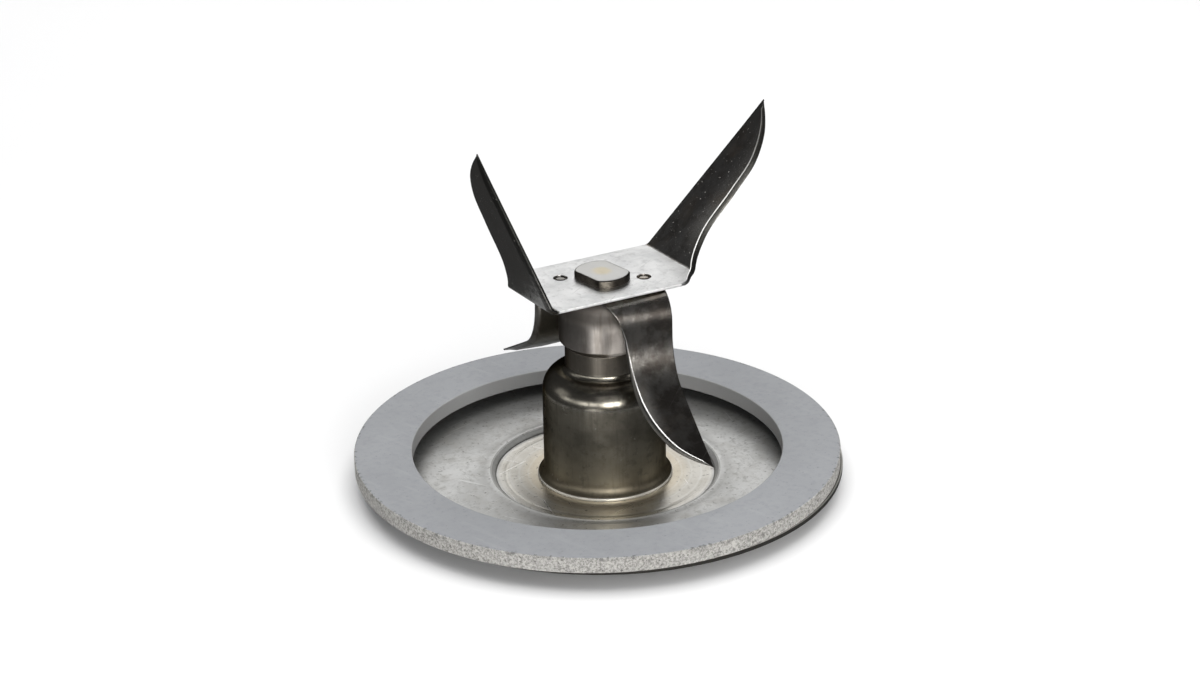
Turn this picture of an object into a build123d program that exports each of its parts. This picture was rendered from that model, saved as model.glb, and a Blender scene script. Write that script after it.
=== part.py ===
from build123d import *
import os
from math import atan2, cos, degrees, radians, sin, sqrt, tan

os.makedirs("parts", exist_ok=True)

# Blender blade assembly. Millimetres, +Z up. The origin is on the shaft axis in the plane the part
# rests on (underside of the base plate's recess); +X points along the upper blade's flatter arm.

# Base plate
plate_sheet = 0.8
plate_radius = 37.3
recess_radius = 17.2
recess_depth = 0.7
recess_slope = 0.7
flange_width = 2.3
dish_depth = 1.8
dish_slope = 1.8
plate_bend_radius = 0.9

# Sealing ring, lying loose and a little off centre on the flange
ring_radius = 38.1
ring_width = 9.06
ring_height = 2.55
ring_edge = 0.15
ring_shift = 1.2
ring_shift_angle = 160

# Bearing housing
barrel_radius = 9.6
barrel_wall = 1.4
foot_lip = 0.7
foot_seat = 1.2
flare_radius = 2.0
flare_turn = 60
shoulder_land = 0.1
shoulder_height = 18.3
neck_radius = 6.0
neck_wall = 1.1
neck_height = 4.1
neck_fillet_radius = 1.1

# Shaft
shaft_radius = 4.0
running_clearance = 0.03
axial_play = 0.1
flat_half_width = 2.9
flat_angle = 12
head_radius = 4.3
head_half_width = 3.25
head_height = 1.1
head_edge = 0.2
centre_mark_radius = 0.6
centre_mark_depth = 0.3
rivet_overhang = 0.6
rivet_clearance = 0.4
rivet_height = 0.6

# Bearings, felt, seal and washers inside the housing
bush_flange_width = 1.1
bush_flange_height = 1.2
bush_length = 3.9
felt_clearance = 0.5
felt_bore_clearance = 0.4
felt_height = 3.5
lower_bush_length = 4.0
neck_washer_radius = 5.4
neck_washer_clearance = 0.3
neck_washer_height = 0.7
thrust_washer_radius = 6.4
thrust_washer_height = 0.7
washer_clearance = 0.05

# Drive coupling
coupling_clearance = 0.7
coupling_height = 7.8
coupling_chamfer = 0.3
socket_width = 8.0
socket_corner_radius = 0.6
socket_depth = 5.8
socket_lead_in = 0.4

# Spacer collar
collar_radius = 6.85
collar_height = 9.0
collar_land = 0.4
collar_chamfer_height = 0.6
collar_edge_clearance = 0.05
collar_seam = 0.2
collar_recess_clearance = 0.3

# Both blades
blade_sheet = 0.8
bevel_width = 0.5
bevel_depth = 0.65
shaft_hole_clearance = 0.05
stud_circle_radius = 6.4
stud_angle = -28
stud_radius = 1.15
stud_depth = 0.25
stud_clearance = 0.05

# Upper blade: flat blank with both arms folded up. Widths are taken from the straight trailing edge
# to the curved leading edge, at a reach from the shaft axis along the blank.
upper_half_width = 8.28
upper_fold_distance = 13.02
upper_fold_skew = 4.2
upper_bend_radius = 2.0
upper_flat_arm_bend = 44.8
upper_steep_arm_bend = 67.5
upper_length = 41.66
upper_root_start = 9.3
upper_root_reach = 11.4
upper_root_width = 15.08
upper_root_slope = 48.5
upper_waist_reach = 18.5
upper_waist_width = 9.48
upper_middle_reach = 27.0
upper_middle_width = 8.38
upper_belly_reach = 32.5
upper_belly_width = 7.58
upper_nose_reach = 37.5
upper_nose_width = 4.63
upper_tip_slope = 50.0

# Lower blade: arms folded down, then flared outward. Widths as on the upper blade; reaches on the
# flare are taken from where the flare begins.
lower_half_width = 8.1
lower_angle = -98.7
lower_bend_start = 4.73
lower_bend_radius = 4.26
lower_bend = 89.0
lower_drop = 2.16
lower_flare_radius = 9.3
lower_flare_turn = 61.0
lower_flare_length = 13.85
lower_root_start = 1.2
lower_root_width = 12.4
lower_fold_bow = 0.58
lower_run_width = 8.25
lower_turn_width = 7.68
lower_turn_bow = 0.13
lower_flare_width = 7.35
lower_middle_reach = 5.0
lower_middle_width = 6.55
lower_belly_reach = 9.5
lower_belly_width = 4.6
lower_nose_reach = 12.2
lower_nose_width = 2.15
lower_tip_slope = 52.0

# Radii that follow from the sizes above
dish_radius = plate_radius - flange_width - dish_slope
bore_radius = barrel_radius - barrel_wall
foot_radius = barrel_radius + flare_radius * (1 - cos(radians(flare_turn)))
plate_hole_radius = foot_radius - foot_seat
shoulder_radius = barrel_radius - neck_radius - shoulder_land
neck_bore_radius = neck_radius - neck_wall
ring_bore_radius = ring_radius - ring_width
bearing_bore_radius = shaft_radius + running_clearance
coupling_radius = bore_radius - coupling_clearance
rivet_radius = socket_width / 2 - rivet_clearance
spigot_radius = rivet_radius - rivet_overhang
collar_recess_radius = neck_washer_radius + collar_recess_clearance
collar_edge_radius = collar_radius - lower_bend_start + collar_edge_clearance

# Heights that follow from the sizes above
recess_floor = plate_sheet
dish_floor = recess_floor + recess_depth
flange_top = dish_floor + dish_depth
shoulder_top = recess_floor + shoulder_height
neck_top = shoulder_top + neck_height
roof = shoulder_top - barrel_wall
upper_bush_bottom = roof - bush_flange_height
upper_bush_top = roof + bush_length
lower_bush_top = upper_bush_bottom - felt_height
lower_bush_bottom = lower_bush_top - lower_bush_length
coupling_top = lower_bush_bottom - axial_play - thrust_washer_height
coupling_bottom = coupling_top - coupling_height
socket_top = coupling_bottom + socket_depth
neck_washer_top = neck_top + neck_washer_height
collar_bottom = neck_top + collar_seam
collar_top = collar_bottom + collar_height
lower_blade_top = collar_top + blade_sheet
upper_blade_top = lower_blade_top + blade_sheet
head_top = upper_blade_top + head_height

# Base plate: sheet of one thickness, pressed into a dish with a shallow round recess
with BuildPart() as base_plate:
    with BuildSketch(Plane.XZ):
        with BuildLine():
            FilletPolyline(
                (plate_hole_radius, recess_floor),
                (recess_radius, recess_floor),
                (recess_radius + recess_slope, dish_floor),
                (dish_radius, dish_floor),
                (dish_radius + dish_slope, flange_top),
                (plate_radius, flange_top),
                radius=plate_bend_radius,
            )
            offset(amount=plate_sheet, side=Side.RIGHT)
        make_face()
    revolve(axis=Axis.Z)

# Sealing ring
ring_plane = Plane.XY.rotated((0, 0, ring_shift_angle)).offset(flange_top)
with BuildPart() as sealing_ring:
    with BuildSketch(ring_plane):
        with Locations((ring_shift, 0)):
            Circle(ring_radius)
            Circle(ring_bore_radius, mode=Mode.SUBTRACT)
    extrude(amount=ring_height)
    chamfer(sealing_ring.edges().filter_by(GeomType.CIRCLE), ring_edge)

# Bearing housing: flared foot, barrel, rounded shoulder and neck, drawn in one piece
shoulder_centre = shoulder_top - shoulder_radius
fillet_reach = neck_fillet_radius - shoulder_land
fillet_lift = sqrt((shoulder_radius + neck_fillet_radius) ** 2 - fillet_reach**2)
fillet_turn = degrees(atan2(fillet_lift, fillet_reach))
fillet_end = shoulder_centre + fillet_lift
flare_end = recess_floor + foot_lip + flare_radius * sin(radians(flare_turn))
with BuildPart() as bearing_housing:
    with BuildSketch(Plane.XZ):
        with BuildLine():
            flare = JernArc((barrel_radius, flare_end), (0, -1), flare_radius, flare_turn)
            Polyline(
                flare @ 1,
                (foot_radius, recess_floor),
                (bore_radius, recess_floor),
                (bore_radius, shoulder_centre),
            )
            roof_round = JernArc((bore_radius, shoulder_centre), (0, 1), shoulder_radius - barrel_wall, 90)
            Polyline(
                roof_round @ 1,
                (neck_bore_radius, roof),
                (neck_bore_radius, neck_top),
                (neck_radius, neck_top),
                (neck_radius, fillet_end),
            )
            JernArc((neck_radius, fillet_end), (0, -1), neck_fillet_radius, fillet_turn)
            JernArc((barrel_radius, shoulder_centre), (0, 1), shoulder_radius, fillet_turn)
            Line((barrel_radius, shoulder_centre), (barrel_radius, flare_end))
        make_face()
    revolve(axis=Axis.Z)

# Upper bearing: flanged bush pressed into the neck
with BuildPart() as upper_bearing:
    with BuildSketch(Plane.XY.offset(upper_bush_bottom)):
        Circle(neck_bore_radius + bush_flange_width)
    extrude(amount=bush_flange_height)
    with BuildSketch(Plane.XY.offset(roof)):
        Circle(neck_bore_radius)
    extrude(amount=bush_length)
    with BuildSketch(Plane.XY.offset(upper_bush_bottom)):
        Circle(bearing_bore_radius)
    extrude(amount=bush_flange_height + bush_length, mode=Mode.SUBTRACT)

# Lower bearing: plain bush pressed into the barrel
with BuildPart() as lower_bearing:
    with BuildSketch(Plane.XY.offset(lower_bush_bottom)):
        Circle(bore_radius)
        Circle(bearing_bore_radius, mode=Mode.SUBTRACT)
    extrude(amount=lower_bush_length)

# Oil felt between the two bearings
with BuildPart() as oil_felt:
    with BuildSketch(Plane.XY.offset(lower_bush_top)):
        Circle(bore_radius - felt_clearance)
        Circle(shaft_radius + felt_bore_clearance, mode=Mode.SUBTRACT)
    extrude(amount=felt_height)

# Shaft seal above the upper bearing
with BuildPart() as shaft_seal:
    with BuildSketch(Plane.XY.offset(upper_bush_top)):
        Circle(neck_bore_radius)
        Circle(bearing_bore_radius, mode=Mode.SUBTRACT)
    extrude(amount=neck_top - upper_bush_top)

# Washer on top of the neck
with BuildPart() as neck_washer:
    with BuildSketch(Plane.XY.offset(neck_top)):
        Circle(neck_washer_radius)
        Circle(shaft_radius + neck_washer_clearance, mode=Mode.SUBTRACT)
    extrude(amount=neck_washer_height)

# Thrust washer between coupling and lower bearing
with BuildPart() as thrust_washer:
    with BuildSketch(Plane.XY.offset(coupling_top)):
        Circle(thrust_washer_radius)
        Circle(shaft_radius + washer_clearance, mode=Mode.SUBTRACT)
    extrude(amount=thrust_washer_height)


def double_d(plane, radius, half_width):
    """Round outline with two flats."""
    with BuildSketch(plane) as outline:
        Circle(radius)
        Rectangle(2 * half_width, 4 * radius, mode=Mode.INTERSECT)
    return outline.sketch


# Drive shaft with riveted lower end and peened double-D head
key_plane = Plane.XY.rotated((0, 0, flat_angle))
with BuildPart() as drive_shaft:
    with BuildSketch(Plane.XY.offset(socket_top - rivet_height)):
        Circle(rivet_radius)
    extrude(amount=rivet_height)
    with BuildSketch(Plane.XY.offset(socket_top)):
        Circle(spigot_radius)
    extrude(amount=coupling_top - socket_top)
    with BuildSketch(Plane.XY.offset(coupling_top)):
        Circle(shaft_radius)
    extrude(amount=collar_top - coupling_top)
    keyed_end = double_d(key_plane.offset(collar_top), shaft_radius, flat_half_width)
    extrude(keyed_end, amount=upper_blade_top - collar_top)
    head = double_d(key_plane.offset(upper_blade_top), head_radius, head_half_width)
    extrude(head, amount=head_height)
    chamfer(drive_shaft.faces().sort_by(Axis.Z)[-1].edges(), head_edge)
    with BuildSketch(Plane.XZ):
        with BuildLine():
            mark_edge = (centre_mark_radius, head_top)
            mark_point = (0, head_top - centre_mark_depth)
            Polyline((0, head_top), mark_edge, mark_point, close=True)
        make_face()
    revolve(axis=Axis.Z, mode=Mode.SUBTRACT)

# Spacer collar: recessed over the neck washer, rounded on top to clear the lower blade's bend
collar_recess_top = neck_washer_top + axial_play
with BuildPart() as spacer_collar:
    with BuildSketch(Plane.XZ):
        with BuildLine():
            Polyline(
                (collar_recess_radius, collar_bottom),
                (collar_recess_radius + collar_land, collar_bottom),
                (collar_radius, collar_bottom + collar_chamfer_height),
                (collar_radius, collar_top),
                (shaft_radius, collar_top),
                (shaft_radius, collar_recess_top),
                (collar_recess_radius, collar_recess_top),
                close=True,
            )
        make_face()
    revolve(axis=Axis.Z)
    rim = spacer_collar.faces().sort_by(Axis.Z)[-1].outer_wire().edges()
    fillet(rim, collar_edge_radius)

# Drive coupling with a square socket open downward
with BuildPart() as drive_coupling:
    with BuildSketch(Plane.XY.offset(coupling_bottom)):
        Circle(coupling_radius)
    extrude(amount=coupling_height)
    chamfer(drive_coupling.edges().filter_by(GeomType.CIRCLE), coupling_chamfer)
    with BuildSketch(Plane.XY.offset(coupling_bottom)):
        RectangleRounded(socket_width, socket_width, socket_corner_radius)
    extrude(amount=socket_depth, mode=Mode.SUBTRACT)
    mouth = drive_coupling.faces().sort_by(Axis.Z)[0].inner_wires()[0].edges()
    chamfer(mouth, socket_lead_in)
    with BuildSketch(Plane.XY.offset(socket_top)):
        Circle(spigot_radius)
    extrude(amount=coupling_top - socket_top, mode=Mode.SUBTRACT)


def across_arm(base, line, position):
    """Plane square to an arm, at a place along its folded path."""
    point = line @ position
    along = line % position
    return Plane(
        origin=base.from_local_coords((point.X, 0, point.Y)),
        x_dir=base.y_dir,
        z_dir=base.x_dir * along.X + base.z_dir * along.Y,
    )


def plain_section(plane, lead, trail):
    """Square-edged cross-section of the sheet, below its top face."""
    with BuildSketch(plane) as section:
        with BuildLine():
            Polyline((lead, 0), (trail, 0), (trail, -blade_sheet), (lead, -blade_sheet), close=True)
        make_face()
    return section.sketch


def ground_section(plane, lead, trail, share):
    """Cross-section of the sheet with the top of its leading edge ground to a share of the full bevel."""
    with BuildSketch(plane) as section:
        with BuildLine():
            Polyline(
                (lead + share * bevel_width, 0),
                (trail, 0),
                (trail, -blade_sheet),
                (lead, -blade_sheet),
                (lead, -share * bevel_depth),
                close=True,
            )
        make_face()
    return section.sketch


def arm_outline(plane, start, curve, tip, trail_start, directions):
    """Flat end of an arm: curved leading edge out to the tip, straight trailing edge back."""
    with BuildSketch(plane) as outline:
        with BuildLine():
            Spline(start, *curve, tip, tangents=directions)
            Polyline(tip, trail_start, start)
        make_face()
    return outline.sketch


def bowed(start, end, bow, position):
    """Width between two ends that bows in by a given amount halfway."""
    return start + (end - start) * position - 4 * bow * position * (1 - position)


def heading(angle):
    """Unit direction in a sketch."""
    return (cos(radians(angle)), sin(radians(angle)))


def stud_circles(top, radius):
    """Two circles where the blades are located on each other."""
    with BuildSketch(Plane.XY.offset(top)) as circles:
        with PolarLocations(stud_circle_radius, 2, start_angle=stud_angle):
            Circle(radius)
    return circles.sketch


# Upper blade. Its outline is given in the flat blank, x along the blade and y across it.
skew = radians(upper_fold_skew)


def root_point(distance):
    """Where the slanting root of the leading edge is a given distance out, square to the fold."""
    root_offset = upper_half_width - upper_root_width
    step = distance - upper_root_reach * cos(skew) - root_offset * sin(skew)
    step = step / cos(radians(upper_root_slope) - skew)
    return (
        upper_root_reach + step * cos(radians(upper_root_slope)),
        root_offset + step * sin(radians(upper_root_slope)),
    )


def trail_point(distance):
    """Where the straight trailing edge is a given distance out, square to the fold."""
    return ((distance - upper_half_width * sin(skew)) / cos(skew), upper_half_width)


def beside_fold(point):
    """Place along the fold of a point in the blank."""
    return point[1] * cos(skew) - point[0] * sin(skew)


def turned(point):
    """The same place on the opposite arm."""
    return (-point[0], -point[1])


def setback(bend):
    """Distance from the sharp fold line to where the bend begins."""
    return upper_bend_radius * tan(radians(bend) / 2)


flat_arm_start = upper_fold_distance - setback(upper_flat_arm_bend)
steep_arm_start = upper_fold_distance - setback(upper_steep_arm_bend)
upper_root = (upper_root_start, -upper_half_width)
upper_tip = (upper_length, upper_half_width)
upper_lead_curve = (
    (upper_waist_reach, upper_half_width - upper_waist_width),
    (upper_middle_reach, upper_half_width - upper_middle_width),
    (upper_belly_reach, upper_half_width - upper_belly_width),
    (upper_nose_reach, upper_half_width - upper_nose_width),
)
root_heading = heading(upper_root_slope)
key_hole = (shaft_radius + shaft_hole_clearance, flat_half_width + shaft_hole_clearance)
bend_stations = (0, 0.25, 0.5, 0.75, 1)
with BuildPart() as upper_blade:
    with BuildSketch(Plane.XY.offset(upper_blade_top)):
        with BuildLine():
            Line(turned(upper_root), trail_point(flat_arm_start))
            Line(trail_point(flat_arm_start), root_point(flat_arm_start))
            Spline(root_point(flat_arm_start), upper_root, tangents=(turned(root_heading), (-1, 0)))
            Line(upper_root, turned(trail_point(steep_arm_start)))
            Line(turned(trail_point(steep_arm_start)), turned(root_point(steep_arm_start)))
            Spline(turned(root_point(steep_arm_start)), turned(upper_root), tangents=(root_heading, (1, 0)))
        make_face()
    extrude(amount=-blade_sheet)
    for turn, bend in ((0, upper_flat_arm_bend), (180, upper_steep_arm_bend)):
        near = upper_fold_distance - setback(bend)
        far = upper_fold_distance + setback(bend)
        fold_base = Plane.XY.offset(upper_blade_top).rotated((0, 0, turn + upper_fold_skew))
        fold = JernArc((near, 0), (1, 0), upper_bend_radius, bend, mode=Mode.PRIVATE)
        sections = []
        for position in bend_stations:
            distance = near + (far - near) * position
            lead = beside_fold(root_point(distance))
            trail = beside_fold(trail_point(distance))
            sections.append(plain_section(across_arm(fold_base, fold, position), lead, trail))
        loft(sections)
        rise = fold_base.x_dir * cos(radians(bend)) + fold_base.z_dir * sin(radians(bend))
        arm_plane = Plane(
            origin=fold_base.origin + (fold_base.x_dir - rise) * upper_fold_distance,
            x_dir=rise * cos(skew) - fold_base.y_dir * sin(skew),
            z_dir=fold_base.z_dir * cos(radians(bend)) - fold_base.x_dir * sin(radians(bend)),
        )
        directions = (root_heading, heading(upper_tip_slope))
        ground_curve = [(x, y + bevel_width) for x, y in upper_lead_curve]
        arm_ends = (upper_tip, trail_point(far), directions)
        under = arm_outline(arm_plane.offset(-blade_sheet), root_point(far), upper_lead_curve, *arm_ends)
        middle = arm_outline(arm_plane.offset(-bevel_depth), root_point(far), upper_lead_curve, *arm_ends)
        face = arm_outline(arm_plane, root_point(far), ground_curve, *arm_ends)
        extrude(under, amount=blade_sheet - bevel_depth)
        loft([middle, face], ruled=True)
    extrude(double_d(key_plane.offset(upper_blade_top), *key_hole), amount=-blade_sheet, mode=Mode.SUBTRACT)
    extrude(stud_circles(upper_blade_top, stud_radius), amount=-stud_depth, mode=Mode.SUBTRACT)
    extrude(stud_circles(lower_blade_top, stud_radius), amount=-stud_depth)

# Lower blade
with BuildLine():
    lower_fold = JernArc((lower_bend_start, 0), (1, 0), lower_bend_radius, -lower_bend)
    lower_run = Line(lower_fold @ 1, lower_fold @ 1 + (lower_fold % 1) * lower_drop)
    lower_turn = JernArc(lower_run @ 1, lower_run % 1, lower_flare_radius, lower_flare_turn)
lower_base = Plane.XY.offset(lower_blade_top).rotated((0, 0, lower_angle))
lower_trail = (lower_bend_start, lower_half_width)
lower_root = (lower_root_start, -lower_half_width)
lower_lead = (lower_bend_start, lower_half_width - lower_root_width)
lower_tip = (lower_flare_length, lower_half_width)
lower_lead_curve = (
    (lower_middle_reach, lower_half_width - lower_middle_width),
    (lower_belly_reach, lower_half_width - lower_belly_width),
    (lower_nose_reach, lower_half_width - lower_nose_width),
)
with BuildPart() as lower_blade:
    with BuildSketch(lower_base):
        with BuildLine():
            Polyline(
                lower_trail,
                lower_lead,
                lower_root,
                turned(lower_trail),
                turned(lower_lead),
                turned(lower_root),
                close=True,
            )
        make_face()
    extrude(amount=-blade_sheet)
    for turn in (0, 180):
        fold_base = lower_base.rotated((0, 0, turn))
        sections = []
        for position in bend_stations:
            place = across_arm(fold_base, lower_fold, position)
            width = bowed(lower_root_width, lower_run_width, lower_fold_bow, position)
            sections.append(plain_section(place, lower_half_width - width, lower_half_width))
        loft(sections)
        run_start = across_arm(fold_base, lower_run, 0)
        run_end = across_arm(fold_base, lower_run, 1)
        sections = [
            ground_section(run_start, lower_half_width - lower_run_width, lower_half_width, 0.1),
            ground_section(run_end, lower_half_width - lower_turn_width, lower_half_width, 0.6),
        ]
        loft(sections)
        sections = []
        for position in bend_stations:
            place = across_arm(fold_base, lower_turn, position)
            width = bowed(lower_turn_width, lower_flare_width, lower_turn_bow, position)
            lead = lower_half_width - width
            sections.append(ground_section(place, lead, lower_half_width, 0.6 + 0.4 * position))
        loft(sections)
        end = across_arm(fold_base, lower_turn, 1)
        flare_plane = Plane(origin=end.origin, x_dir=end.z_dir, z_dir=end.y_dir)
        directions = ((1, 0), heading(lower_tip_slope))
        flare_ends = (lower_tip, (0, lower_half_width), directions)
        flare_start = (0, lower_half_width - lower_flare_width)
        ground_start = (0, lower_half_width - lower_flare_width + bevel_width)
        ground_curve = [(x, y + bevel_width) for x, y in lower_lead_curve]
        under = arm_outline(flare_plane.offset(-blade_sheet), flare_start, lower_lead_curve, *flare_ends)
        middle = arm_outline(flare_plane.offset(-bevel_depth), flare_start, lower_lead_curve, *flare_ends)
        face = arm_outline(flare_plane, ground_start, ground_curve, *flare_ends)
        extrude(under, amount=blade_sheet - bevel_depth)
        loft([middle, face], ruled=True)
    extrude(double_d(key_plane.offset(lower_blade_top), *key_hole), amount=-blade_sheet, mode=Mode.SUBTRACT)
    stud_holes = stud_circles(lower_blade_top, stud_radius + stud_clearance)
    extrude(stud_holes, amount=-blade_sheet, mode=Mode.SUBTRACT)

# One file for each piece
base_plate.part.label = "base_plate"
export_step(base_plate.part, "parts/base_plate.step")
bearing_housing.part.label = "bearing_housing"
export_step(bearing_housing.part, "parts/bearing_housing.step")
sealing_ring.part.label = "sealing_ring"
export_step(sealing_ring.part, "parts/sealing_ring.step")
upper_bearing.part.label = "upper_bearing"
export_step(upper_bearing.part, "parts/upper_bearing.step")
lower_bearing.part.label = "lower_bearing"
export_step(lower_bearing.part, "parts/lower_bearing.step")
oil_felt.part.label = "oil_felt"
export_step(oil_felt.part, "parts/oil_felt.step")
shaft_seal.part.label = "shaft_seal"
export_step(shaft_seal.part, "parts/shaft_seal.step")
neck_washer.part.label = "neck_washer"
export_step(neck_washer.part, "parts/neck_washer.step")
thrust_washer.part.label = "thrust_washer"
export_step(thrust_washer.part, "parts/thrust_washer.step")
drive_shaft.part.label = "drive_shaft"
export_step(drive_shaft.part, "parts/drive_shaft.step")
spacer_collar.part.label = "spacer_collar"
export_step(spacer_collar.part, "parts/spacer_collar.step")
drive_coupling.part.label = "drive_coupling"
export_step(drive_coupling.part, "parts/drive_coupling.step")
upper_blade.part.label = "upper_blade"
export_step(upper_blade.part, "parts/upper_blade.step")
lower_blade.part.label = "lower_blade"
export_step(lower_blade.part, "parts/lower_blade.step")
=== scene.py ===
from math import acos, atan2, ceil, cos, degrees, pi, radians, sin, tan

import bmesh
import bpy
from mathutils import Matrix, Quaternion, Vector


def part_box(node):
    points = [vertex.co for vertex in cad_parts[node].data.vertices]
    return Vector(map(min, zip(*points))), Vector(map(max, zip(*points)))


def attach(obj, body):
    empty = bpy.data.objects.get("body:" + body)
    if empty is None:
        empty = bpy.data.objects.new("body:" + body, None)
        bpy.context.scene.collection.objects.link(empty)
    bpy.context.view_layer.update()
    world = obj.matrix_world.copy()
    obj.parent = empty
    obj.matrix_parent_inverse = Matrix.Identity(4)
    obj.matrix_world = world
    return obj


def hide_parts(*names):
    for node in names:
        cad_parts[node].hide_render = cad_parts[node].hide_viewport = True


# Blender blade assembly, dressed over its CAD frame. Sizes are in millimetres in the frame's own axes
# (origin on the shaft axis in the resting plane, +Z up, +X along the upper blade's flatter arm).
MM = 0.001

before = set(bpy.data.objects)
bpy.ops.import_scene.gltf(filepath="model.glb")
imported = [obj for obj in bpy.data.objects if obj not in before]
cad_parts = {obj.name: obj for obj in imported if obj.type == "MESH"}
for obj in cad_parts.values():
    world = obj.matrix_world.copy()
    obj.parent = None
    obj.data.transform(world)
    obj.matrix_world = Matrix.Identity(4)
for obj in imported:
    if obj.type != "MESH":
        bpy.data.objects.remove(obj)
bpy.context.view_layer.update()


def low_of(node):
    """Lowest corner of a CAD node, in millimetres."""
    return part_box(node)[0] / MM


def high_of(node):
    """Highest corner of a CAD node, in millimetres."""
    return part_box(node)[1] / MM


# Base plate: heights of the recess floor, dish and flange, and the radii where they turn
SHEET = 0.8
PLATE_HOLE = 9.4
PLATE_EDGE = 0.12
RECESS_DEPTH = 0.7
RECESS_RADII = (17.2, 17.9)
DISH_RADII = (33.2, 35.0)
PLATE_RADIUS = high_of("base_plate").x
FLANGE_TOP = high_of("base_plate").z
PLATE_BEND = 0.9
RECESS_CORNER = 0.16
RECESS_UNDER = (0.9, 0.3)
LIP_BEAD = 18.35
# The ring mark as (radius, height over the recess floor), and the recess's lip as (radius, height over
# the dish, rounding)
RECESS_MARK = ((15.35, 0), (15.7, -0.06), (16.05, 0))
MARK_ROUND = 0.1
LIP_CORNERS = (
    (RECESS_RADII[1], 0.06, 0.3),
    (LIP_BEAD, 0.08, 0.6),
    (LIP_BEAD + 0.9, -0.04, 1.5),
    (LIP_BEAD + 2.6, 0, 2.5),
)

# Sealing ring, loose and a little off centre
RING_RADIUS = (high_of("sealing_ring").x - low_of("sealing_ring").x) / 2
RING_WIDTH = 9.06
RING_BORE = RING_RADIUS - RING_WIDTH
RING_TOP = high_of("sealing_ring").z
RING_EDGE = 0.2
RING_CENTRE = tuple((low_of("sealing_ring") + high_of("sealing_ring")) / 2)[:2]

# Bearing housing
FOOT_RADIUS = high_of("bearing_housing").x
FOOT_BOTTOM = low_of("bearing_housing").z
FOOT_LIP = 0.42
FOOT_LIP_ROUND = 0.36
FLARE_RADIUS = 2.0
FLARE_TURN = 60
BARREL_RADIUS = 9.6
BARREL_BORE = 8.2
SHOULDER_RADIUS = 3.5
SHOULDER_TOP = 19.1
NECK_RADIUS = 6.0
NECK_BORE = 4.9
NECK_FILLET = 1.1
NECK_TOP = high_of("bearing_housing").z
ROOF = 17.7
ROOF_FILLET = 1.2
HOUSING_EDGE = 0.15
HOUSING_FINE_EDGE = 0.1

# Spacer collar; its lower edge nearly meets the neck
COLLAR_SEAM = 0.07
COLLAR_BOTTOM = NECK_TOP + COLLAR_SEAM
COLLAR_BOTTOM_RADIUS = 6.1
COLLAR_SKIRT = 0.8
COLLAR_RADIUS = high_of("spacer_collar").x
COLLAR_TOP = high_of("spacer_collar").z
COLLAR_EDGE = 2.17
COLLAR_FINE_EDGE = 0.05
COLLAR_FOOT_EDGE = 0.08
COLLAR_SKIRT_EDGE = 0.25
COLLAR_RECESS = 5.7

# Shaft with its peened double-D head
SHAFT_RADIUS = 4.0
SHAFT_FLAT = 2.9
FLAT_ANGLE = 12
HEAD_RADIUS = 4.3
HEAD_FLAT = 3.25
HEAD_EASE = 0.45
HEAD_TOP = high_of("drive_shaft").z
# The head's rounded edge as (depth under its top, distance inside its outline), and the dimple in its
# middle as (depth, radius)
HEAD_CROWN = ((0.28, 0), (0.14, 0.04), (0.05, 0.14), (0.01, 0.3), (0, 0.6))
HEAD_DIMPLE = ((0.01, 0.9), (0.03, 0.55), (0.05, 0.3))
RIVET_BOTTOM = low_of("drive_shaft").z
RIVET_HEIGHT = 0.6
RIVET_RADIUS = 3.6
RIVET_EDGE = 0.15
SPIGOT_RADIUS = 3.0
SHAFT_FOOT = high_of("drive_coupling").z

# Both blades
BLADE_SHEET = 0.8
BLADE_SHARP = 44
BLADE_COLUMNS = 14
POINT_WIDTH = 0.12
POINT_SHEET = 0.3
POINT_RUN = 5.0
BEVEL_WIDTH = 0.5
BEVEL_DEPTH = 0.65
BEVEL_RUN_IN = 2.4
BEVEL_RUN_OUT = 1.5
RIDGE_WIDTH = 0.19
EDGE_ROUND = 0.1
EDGE_LAND = 0.3
EDGE_UNDERCUT = 0.75
EDGE_COLUMN = 0.12
STUD_CIRCLE = 6.4
STUD_ANGLE = -28
STUD_RADIUS = 1.15
STUD_DEPTH = 0.25
STUD_CORNER = 0.1
# The groove's floor and raised middle, as (share of the radius, height over the floor)
STUD_GROOVE = ((0.74, 0), (0.6, 0.12), (0.5, 0.17), (0.25, 0.18))

# Lower blade: (reach along the blank, offset of the leading edge from the middle line); reaches on
# the flare are taken from where the flare begins
LOWER_TOP = high_of("lower_blade").z
LOWER_ANGLE = -98.7
LOWER_HALF_WIDTH = 8.1
LOWER_FOLD = 4.73
LOWER_FOLD_RADIUS = 4.26
LOWER_FOLD_BEND = 89
LOWER_DROP = 2.16
LOWER_TURN_RADIUS = 9.3
LOWER_TURN_BEND = 61
LOWER_FLARE = 13.85
LOWER_ROOT = (1.2, -8.1)
LOWER_FOLD_OFFSETS = (-4.3, -0.15)
LOWER_FOLD_BOW = 0.58
LOWER_RUN_OFFSET = 0.42
LOWER_FLARE_OFFSET = 0.75
LOWER_TURN_BOW = 0.13
LOWER_LEAD = [(5.0, 1.55), (9.5, 3.5), (12.2, 5.95), (13.85, 8.1)]
LOWER_FLARE_SLOPE = 4
LOWER_TIP_SLOPE = 52
LOWER_BEVEL_START = 0.1
LOWER_SHADING = 2.0
LOWER_CLOSING = 6

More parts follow.
